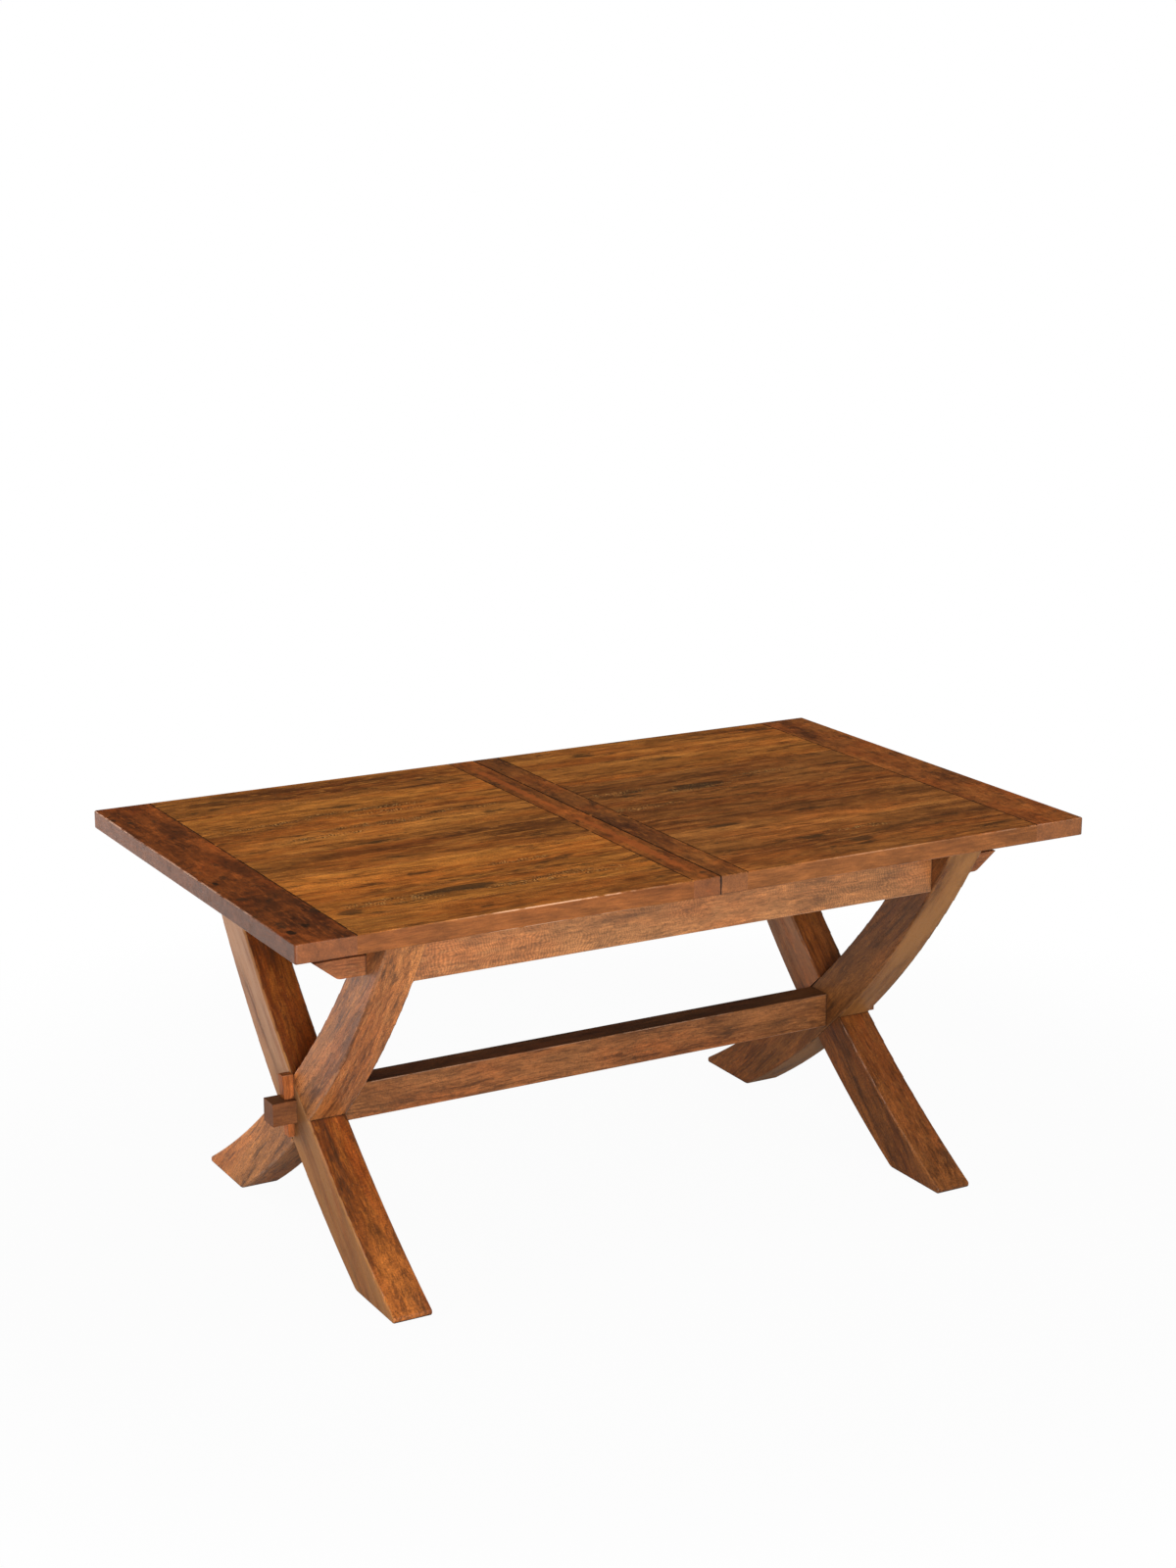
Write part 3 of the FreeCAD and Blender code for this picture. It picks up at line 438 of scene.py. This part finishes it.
handled = smooth_step(tree, out, TENON_SHOULDER, TENON_SHOULDER + SHOULDER_FADE)
lay_over(stretcher_wood, math_of(tree, "MULTIPLY", handled, 0.55), TENON_BROWN)
# Painted shade: the stretcher's upward faces are darkened, as they lie in the top's shadow.
upward = put(tree, "SeparateXYZ", {0: coordinates["Normal"]}).outputs["Z"]
top_shade = math_of(tree, "MULTIPLY", smooth_step(tree, upward, 0.6, 0.9), 0.6)
lay_over(stretcher_wood, top_shade, TOP_SHADE_BROWN)
dress("stretcher", stretcher_wood)
for side, seed in (("left", 33), ("right", 34)):
    name = f"{side}_wedge"
    dress(name, wood(name, ALONG_Z, seed, *WEDGE_TONES, streaks=0.4, blotches=0.1))

# Aprons, guide strips and leaf bearers: long rails stub-tenoned into the leg heads. The strips are
# screwed inside the aprons and the top's runners slide on them; the bearers carry the spare leaf.
APRON_TONES = ((0.37, 0.157, 0.053), (0.30, 0.121, 0.039), (0.185, 0.071, 0.021))
STRIP_TONES = ((0.36, 0.17, 0.07), (0.27, 0.12, 0.045), (0.17, 0.07, 0.025))
LEAF_BEARER_TONES = ((0.26, 0.10, 0.036), (0.20, 0.072, 0.025), (0.11, 0.038, 0.013))
for side, seed in (("front", 48), ("back", 43)):
    name = f"{side}_apron"
    dress(name, wood(name, ALONG_X, seed, *APRON_TONES, sheen=0.45, streaks=0.3, blotches=0.35, curl=1.0,
                     pores=0.6))
    name = f"{side}_guide_strip"
    dress(name, wood(name, ALONG_X, seed + 1, *STRIP_TONES))
for side, seed in (("left", 46), ("right", 47)):
    name = f"{side}_leaf_bearer"
    dress(name, wood(name, ALONG_Y, seed, *LEAF_BEARER_TONES))

# Stored leaf: two solid panels hinged into one folding leaf, of the same stock as the top.
# It lies folded on its bearers under the top, joined by a pair of brass leaf hinges.
LEAF_TONES = ((0.36, 0.13, 0.036), (0.27, 0.092, 0.026), (0.15, 0.046, 0.014))
for piece, seed in (("leaf_lower_panel", 51), ("leaf_upper_panel", 52)):
    dress(piece, wood(piece, ALONG_X, seed, *LEAF_TONES))
BRASS_BRIGHT, BRASS_DIM = (0.78, 0.55, 0.22), (0.55, 0.36, 0.13)
CLOUDING, RUBBING, RUBBING_RELIEF = 55.0, 900.0, 0.0004


def metal(name, bright, dim, roughness):
    """Makes a rolled or plated metal with faint clouding and fine rubbing marks."""
    material = bpy.data.materials.new(name)
    material.use_nodes = True
    tree = material.node_tree
    shader = tree.nodes["Principled BSDF"]
    place = put(tree, "TexCoord").outputs["Object"]
    cloud = put(tree, "TexNoise", {"Vector": place, "Scale": CLOUDING, "Detail": 4.0}).outputs["Fac"]
    rub = put(tree, "TexNoise", {"Vector": place, "Scale": RUBBING, "Detail": 2.0}).outputs["Fac"]
    colour = blend_colours(tree, smooth_step(tree, cloud, 0.35, 0.65), (*dim, 1.0), (*bright, 1.0))
    clouded = math_of(tree, "MULTIPLY_ADD", cloud, 0.2, roughness - 0.19)
    dull = math_of(tree, "MULTIPLY_ADD", rub, 0.18, clouded)
    bump = put(tree, "Bump", {"Height": rub, "Strength": 0.08, "Distance": RUBBING_RELIEF})
    tree.links.new(colour, shader.inputs["Base Color"])
    tree.links.new(dull, shader.inputs["Roughness"])
    tree.links.new(bump.outputs["Normal"], shader.inputs["Normal"])
    shader.inputs["Metallic"].default_value = 1.0
    return material


dress("leaf_hinges", metal("hinge_brass", BRASS_BRIGHT, BRASS_DIM, 0.36))

# Runners and battens: two bars under each half of the top, grooved to run on the guide strips and
# chamfered at the outer end, with a flat batten between them. All are screwed up into the planks.
RUNNER_TONES = ((0.30, 0.12, 0.042), (0.22, 0.082, 0.028), (0.12, 0.042, 0.015))
runner_grain = {"front_runner": ALONG_X, "back_runner": ALONG_X, "batten": ALONG_Y}
for side, seed in (("left", 61), ("right", 65)):
    for shift, (piece, turn) in enumerate(runner_grain.items()):
        name = f"{side}_{piece}"
        dress(name, wood(name, turn, seed + shift, *RUNNER_TONES, blotches=0.3))

# Planks: seven solid boards to each half, edge glued and tongued into the cross boards. The timber
# is streaky and figured, with mineral marks and bands of rolled grain that the plane has torn.
END_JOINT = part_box("right_end_board")[0][0]
SPLIT_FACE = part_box("right_centre_board")[0][0]
CENTRE_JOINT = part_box("right_centre_board")[1][0]
GRIME_THIN, GRIME_WIDE = 0.0010, 0.0028
RAGGED_RIM = dict(along=16.0, across=60.0, detail=3.0, roughness=0.65)


def make_joint_grime():
    """Builds the shared group for a cross joint: an uneven dark line at its place, with chips."""
    tree = bpy.data.node_groups.new("joint_grime", "ShaderNodeTree")
    face = tree.interface
    face.new_socket("Vector", in_out="INPUT", socket_type="NodeSocketVector")
    face.new_socket("Facing", in_out="INPUT", socket_type="NodeSocketVector")
    for name in ("Place", "All round"):
        face.new_socket(name, in_out="INPUT", socket_type="NodeSocketFloat")
    face.new_socket("Grime", in_out="OUTPUT", socket_type="NodeSocketFloat")
    face.new_socket("Chips", in_out="OUTPUT", socket_type="NodeSocketFloat")
    given = tree.nodes.new("NodeGroupInput").outputs
    facing = put(tree, "SeparateXYZ", {0: given["Facing"]}).outputs
    upward = smooth_step(tree, facing["Z"], 0.3, 0.6)
    outward = smooth_step(tree, math_of(tree, "ABSOLUTE", facing["X"]), 0.95, 0.80)
    shown = math_of(tree, "MAXIMUM", upward, math_of(tree, "MULTIPLY", given["All round"], outward))
    across = put(tree, "SeparateXYZ", {0: given["Vector"]}).outputs["X"]
    gap = math_of(tree, "SUBTRACT", math_of(tree, "ABSOLUTE", across), given["Place"])
    ragged = put(tree, "TexNoise", {"Vector": given["Vector"], "Scale": 60.0, "Detail": 3.0}).outputs["Fac"]
    reach = put(tree, "MapRange", {"Value": ragged, "From Min": 0.3, "From Max": 0.7, "To Min": GRIME_THIN,
                                   "To Max": GRIME_WIDE}).outputs["Result"]
    near = math_of(tree, "DIVIDE", math_of(tree, "ABSOLUTE", gap), reach)
    grime = math_of(tree, "MULTIPLY", smooth_step(tree, near, 1.0, 0.45), 0.9)
    spots = put(tree, "TexNoise", {"Vector": given["Vector"], "Scale": 38.0, "Detail": 2.0}).outputs["Fac"]
    chips = math_of(tree, "MULTIPLY", smooth_step(tree, spots, 0.64, 0.70),
                    smooth_step(tree, near, 2.4, 1.2))
    chips = math_of(tree, "MULTIPLY", math_of(tree, "MULTIPLY", chips, 0.8), upward)
    put_out = tree.nodes.new("NodeGroupOutput").inputs
    tree.links.new(math_of(tree, "MULTIPLY", grime, shown), put_out["Grime"])
    tree.links.new(chips, put_out["Chips"])
    return tree


def make_patch():
    """Builds the shared group for one patch on a board: 1 inside it and ragged at its rim."""
    tree = bpy.data.node_groups.new("patch", "ShaderNodeTree")
    face = tree.interface
    for name in ("Vector", "Centre", "Reach"):
        face.new_socket(name, in_out="INPUT", socket_type="NodeSocketVector")
    face.new_socket("Mask", in_out="OUTPUT", socket_type="NodeSocketFloat")
    given = tree.nodes.new("NodeGroupInput").outputs
    away = put(tree, "VectorMath", {0: given["Vector"], 1: given["Centre"]},
               operation="SUBTRACT").outputs[0]
    shares = put(tree, "VectorMath", {0: away, 1: given["Reach"]}, operation="DIVIDE").outputs[0]
    distance = put(tree, "VectorMath", {0: shares}, operation="LENGTH").outputs["Value"]
    ragged = grain_noise(tree, given["Vector"], **RAGGED_RIM)
    rim = math_of(tree, "MULTIPLY_ADD", ragged, 1.8, math_of(tree, "SUBTRACT", distance, 0.9))
    tree.links.new(smooth_step(tree, rim, 1.0, 0.6), tree.nodes.new("NodeGroupOutput").inputs["Mask"])
    return tree


joint_grime = make_joint_grime()
patch = make_patch()
THROUGH = 20.0


def patches(material, places):
    """Gives the mask of all the patches on a board, each with its middle, half length and half width."""
    tree = material.node_tree
    coordinates = put(tree, "TexCoord").outputs["Object"]
    whole = None
    for x, y, along, across in places:
        mask = put(tree, "Group", {"Vector": coordinates, "Centre": (x, y, 0.0),
                                   "Reach": (along, across, THROUGH)}, node_tree=patch).outputs["Mask"]
        whole = math_of(tree, "MAXIMUM", whole, mask) if whole else mask
    return whole


def mark_joint(material, place, chip):
    """Draws the dark line of a cross joint on a board of the top, with chips that show paler wood."""
    tree = material.node_tree
    coordinates = put(tree, "TexCoord").outputs
    all_round = 1.0 if place == SPLIT_FACE else 0.0
    line = put(tree, "Group", {"Vector": coordinates["Object"], "Facing": coordinates["Normal"],
                               "Place": place, "All round": all_round}, node_tree=joint_grime).outputs
    lay_over(material, line["Grime"], BLACK_MARKS_AND_SHADE)
    lay_over(material, line["Chips"], (*chip, 1.0))


PLANK_TONES = {
    "golden": ((0.45, 0.170, 0.028), (0.29, 0.097, 0.015), (0.13, 0.041, 0.008)),
    "middle": ((0.41, 0.152, 0.027), (0.25, 0.084, 0.014), (0.11, 0.035, 0.007)),
    "brown": ((0.32, 0.118, 0.025), (0.185, 0.063, 0.013), (0.085, 0.028, 0.007)),
}
RIM_RED = (0.190, 0.059, 0.016)
RIM_GOLD = (0.200, 0.069, 0.020)
# Greyish mauve for the cross boards' side faces, partly their stain and partly a painted reflection.
RIM_MAUVE_AND_SHEEN = (0.150, 0.062, 0.033)
# How strongly each half's rim is painted paler, partly worn and partly a painted highlight.
RIM_RUB_HIGHLIGHT = {"left": 0.8, "right": 0.3}
plank_seeds = {"left": 70, "right": 90}
plank_tones = {
    "left": ("middle", "golden", "middle", "middle", "golden", "golden", "middle"),
    "right": ("middle", "middle", "brown", "brown", "brown", "brown", "brown"),
}
torn_places = {
    "left_plank_2": ((-0.60, 0.225, 0.17, 0.013), (-0.36, 0.248, 0.20, 0.013), (-0.33, 0.215, 0.10, 0.010)),
    "left_plank_3": ((-0.545, 0.10, 0.13, 0.014), (-0.36, 0.135, 0.14, 0.017), (-0.20, 0.160, 0.10, 0.012)),
    "left_plank_5": ((-0.28, -0.225, 0.10, 0.012),),
    "left_plank_6": ((-0.57, -0.345, 0.20, 0.020), (-0.25, -0.350, 0.20, 0.022)),
    "right_plank_3": ((0.13, 0.110, 0.11, 0.018), (0.29, 0.077, 0.12, 0.023), (0.50, 0.12, 0.09, 0.014)),
    "right_plank_4": ((0.13, -0.012, 0.10, 0.017),),
    "right_plank_6": ((0.42, -0.34, 0.12, 0.012),),
}
smudged_places = {
    "left_plank_6": ((-0.69, -0.373, 0.035, 0.016), (-0.45, -0.335, 0.09, 0.018)),
    "right_plank_3": ((0.69, 0.048, 0.05, 0.020), (0.31, 0.085, 0.07, 0.022)),
    "right_plank_5": ((0.195, -0.205, 0.04, 0.012),),
    "right_plank_7": ((0.378, -0.408, 0.045, 0.020),),
}
for side, tones in plank_tones.items():
    for number, tone in enumerate(tones, 1):
        name = f"{side}_plank_{number}"
        rim = RIM_RED if side == "left" else RIM_GOLD
        timber = wood(name, ALONG_X, plank_seeds[side] + number, *PLANK_TONES[tone], sheen=0.2,
                      rub_highlight=RIM_RUB_HIGHLIGHT[side], rim=(rim, rim), streaks=0.8, blotches=0.9, pores=0.35, curl=0.55)
        if name in torn_places:
            timber.node_tree.links.new(patches(timber, torn_places[name]),
                                       timber.node_tree.nodes["figure"].inputs["Chatter"])
        if name in smudged_places:
            smudge = math_of(timber.node_tree, "MULTIPLY", patches(timber, smudged_places[name]), 0.7)
            lay_over(timber, smudge, MINERAL_GREY)
        for place in (END_JOINT, CENTRE_JOINT):
            mark_joint(timber, place, PLANK_TONES[tone][0])
        dress(name, timber)

# Cross boards: a wide board across each end of the top and a narrow one on each side of the cut,
# grooved over the planks' tongues. They are redder and darker than the planks, with small knots.
cross_looks = {
    "left_end_board": (101, (0.29, 0.072, 0.011), (0.145, 0.036, 0.006), (0.045, 0.013, 0.004), (END_JOINT,)),
    "right_end_board": (102, (0.32, 0.102, 0.020), (0.21, 0.063, 0.012), (0.09, 0.028, 0.007), (END_JOINT,)),
    "left_centre_board": (103, (0.30, 0.090, 0.015), (0.175, 0.052, 0.009), (0.06, 0.019, 0.006),
                          (CENTRE_JOINT, SPLIT_FACE)),
    "right_centre_board": (104, (0.32, 0.105, 0.020), (0.18, 0.057, 0.011), (0.07, 0.023, 0.007),
                           (CENTRE_JOINT, SPLIT_FACE)),
}
HEART_RED = (0.36, 0.082, 0.014, 1.0)
SHADE_BROWN = (0.036, 0.012, 0.004, 1.0)
shaded_places = ((-0.758, -0.02, 0.020, 0.10), (-0.800, -0.26, 0.030, 0.09), (-0.755, -0.22, 0.022, 0.09),
                 (-0.770, 0.28, 0.028, 0.08))
knot_places = ((-0.831, -0.095, 0.007, 0.012), (-0.7885, -0.405, 0.009, 0.014),
               (-0.826, -0.432, 0.009, 0.013))
heart_places = ((-0.030, -0.25, 0.014, 0.26), (-0.034, 0.25, 0.011, 0.22))
DOWEL_TONES = ((0.52, 0.33, 0.16), (0.43, 0.26, 0.12), (0.30, 0.17, 0.07))
for board, (seed, pale, middle, deep, joints) in cross_looks.items():
    side = board.split("_")[0]
    rim = RIM_RED if side == "left" else RIM_GOLD
    knots = 0.4 if "end" in board else 0.0
    timber = wood(board, ALONG_Y, seed, pale, middle, deep, sheen=0.35, rub_highlight=RIM_RUB_HIGHLIGHT[side],
                  rim=(RIM_MAUVE_AND_SHEEN, rim), shortness=3.5, streaks=0.4, blotches=0.8, pores=0.5, knots=knots)
    if board == "left_end_board":
        shade = math_of(timber.node_tree, "MULTIPLY", patches(timber, shaded_places), 0.5)
        lay_over(timber, shade, SHADE_BROWN)
        knot = math_of(timber.node_tree, "MULTIPLY", patches(timber, knot_places), 0.9)
        lay_over(timber, knot, BLACK_MARKS_AND_SHADE)
    if board == "left_centre_board":
        heart = math_of(timber.node_tree, "MULTIPLY", patches(timber, heart_places), 0.5)
        lay_over(timber, heart, HEART_RED)
    for place in joints:
        mark_joint(timber, place, pale)
    dress(board, timber)
dress("split_dowels", wood("split_dowels", ALONG_X, 105, *DOWEL_TONES))

# Screws and catches: zinc-plated wood screws through runners and battens, and two swinging catches
# of pressed steel under the cut, each with a pivot plate on one half and a keeper on the other.
ZINC_BRIGHT, ZINC_DIM = (0.62, 0.62, 0.60), (0.42, 0.42, 0.41)
STEEL_BRIGHT, STEEL_DIM = (0.55, 0.53, 0.48), (0.36, 0.35, 0.32)
screw_zinc = metal("screw_zinc", ZINC_BRIGHT, ZINC_DIM, 0.38)
catch_zinc = metal("catch_zinc", STEEL_BRIGHT, STEEL_DIM, 0.42)
for node in ("left_screws", "right_screws"):
    dress(node, screw_zinc)
for node in ("catch_pivots", "catch_keepers", "front_catch", "back_catch"):
    dress(node, catch_zinc)

# Studio: a white floor that keeps a soft shadow and is clear from below, a pale dome, and broad lamps
# from the front, from overhead and from the left.
FLOOR_SIZE, FLOOR_DROP = 60.0, 0.0005
SHADOW_START, SHADOW_END = 1.2, 2.1
FLOOR_GREY = (0.37, 0.365, 0.36, 1.0)
WHITE = (1.0, 1.0, 1.0, 1.0)
bpy.ops.object.select_all(action="DESELECT")
bpy.ops.mesh.primitive_plane_add(size=FLOOR_SIZE, location=(0.0, 0.0, -FLOOR_DROP))
floor = bpy.context.object
floor.name = "floor"
paper = bpy.data.materials.new("floor_paper")
paper.use_nodes = True
tree = paper.node_tree
tree.nodes.clear()
path = put(tree, "LightPath").outputs
lit = put(tree, "BsdfDiffuse", {"Color": FLOOR_GREY})
white = put(tree, "Emission", {"Color": WHITE, "Strength": 1.0})
place = put(tree, "TexCoord").outputs["Object"]
reach = put(tree, "VectorMath", {0: place}, operation="LENGTH").outputs["Value"]
far = smooth_step(tree, reach, SHADOW_START, SHADOW_END)
camera_share = put(tree, "MapRange", {"Value": far, "To Min": 0.96, "To Max": 1.0}).outputs["Result"]
gloss_share = put(tree, "MapRange", {"Value": far, "To Min": 0.05, "To Max": 1.0}).outputs["Result"]
mirrored = math_of(tree, "MAXIMUM", path["Is Glossy Ray"], path["Is Transmission Ray"])
share = math_of(tree, "MAXIMUM", math_of(tree, "MULTIPLY", path["Is Camera Ray"], camera_share),
                math_of(tree, "MULTIPLY", mirrored, gloss_share))
surface = put(tree, "MixShader", {0: share, 1: lit.outputs[0], 2: white.outputs[0]})
below = math_of(tree, "MULTIPLY", put(tree, "NewGeometry").outputs["Backfacing"], path["Is Camera Ray"])
clear = put(tree, "BsdfTransparent")
one_sided = put(tree, "MixShader", {0: below, 1: surface.outputs[0], 2: clear.outputs[0]})
tree.links.new(one_sided.outputs[0], put(tree, "OutputMaterial").inputs["Surface"])
floor.data.materials.append(paper)

DOME_LEVEL = 0.19
world = bpy.data.worlds.new("studio")
bpy.context.scene.world = world
world.use_nodes = True
tree = world.node_tree
tree.nodes.clear()
path = put(tree, "LightPath").outputs
height = put(tree, "SeparateXYZ", {0: put(tree, "TexCoord").outputs["Generated"]}).outputs["Z"]
above = smooth_step(tree, height, 0.02, 0.10)
shine = put(tree, "MapRange", {"Value": above, "To Min": 0.35, "To Max": 0.03}).outputs["Result"]
mirrored = math_of(tree, "MAXIMUM", path["Is Glossy Ray"], path["Is Transmission Ray"])
level = put(tree, "Mix", {0: mirrored, 2: DOME_LEVEL, 3: shine}).outputs[0]
level = put(tree, "Mix", {0: path["Is Camera Ray"], 2: level, 3: 1.0}).outputs[0]
dome = put(tree, "Background", {"Color": WHITE, "Strength": level})
tree.links.new(dome.outputs[0], put(tree, "OutputWorld").inputs["Surface"])


def lamp(name, place, aim, size, power):
    """Hangs a square soft lamp, turned to face a point."""
    data = bpy.data.lights.new(name, "AREA")
    data.size = size
    data.energy = power
    item = bpy.data.objects.new(name, data)
    item.location = place
    item.rotation_euler = (Vector(aim) - Vector(place)).to_track_quat("-Z", "Y").to_euler()
    bpy.context.scene.collection.objects.link(item)
    return item


lamp("front", place=(-1.8, -4.9, 1.5), aim=(0.0, 0.0, 0.5), size=2.4, power=290.0)
overhead = lamp("overhead", place=(1.1, -1.3, 3.9), aim=(0.0, 0.0, 0.7), size=3.0, power=120.0)
overhead.visible_glossy = False
left = lamp("left", place=(-1.9, 1.7, 1.0), aim=(-0.6, 0.1, 0.5), size=1.6, power=56.0)
left.visible_glossy = False

# Camera: the photograph's view, a long lens from the left front a little above the top.
AZIMUTH, ELEVATION, ROLL = math.radians(-29.578), math.radians(14.531), math.radians(0.174)
DISTANCE = 5.37082
TARGET = Vector((0.00175, 0.0, 0.83118))
SENSOR_HEIGHT, LENS = 36.0, 62.048
camera_data = bpy.data.cameras.new("camera")
camera_data.sensor_fit = "VERTICAL"
camera_data.sensor_height = SENSOR_HEIGHT
camera_data.lens = LENS
camera = bpy.data.objects.new("camera", camera_data)
level_share = math.cos(ELEVATION)
back = Vector((math.sin(AZIMUTH) * level_share, -math.cos(AZIMUTH) * level_share, math.sin(ELEVATION)))
camera.location = TARGET + back * DISTANCE
aimed = Euler((math.pi / 2 - ELEVATION, 0.0, AZIMUTH), "XYZ").to_matrix()
camera.rotation_euler = (aimed @ Euler((0.0, 0.0, ROLL)).to_matrix()).to_euler()
bpy.context.scene.collection.objects.link(camera)
bpy.context.scene.camera = camera
bpy.context.scene.view_settings.view_transform = "Standard"
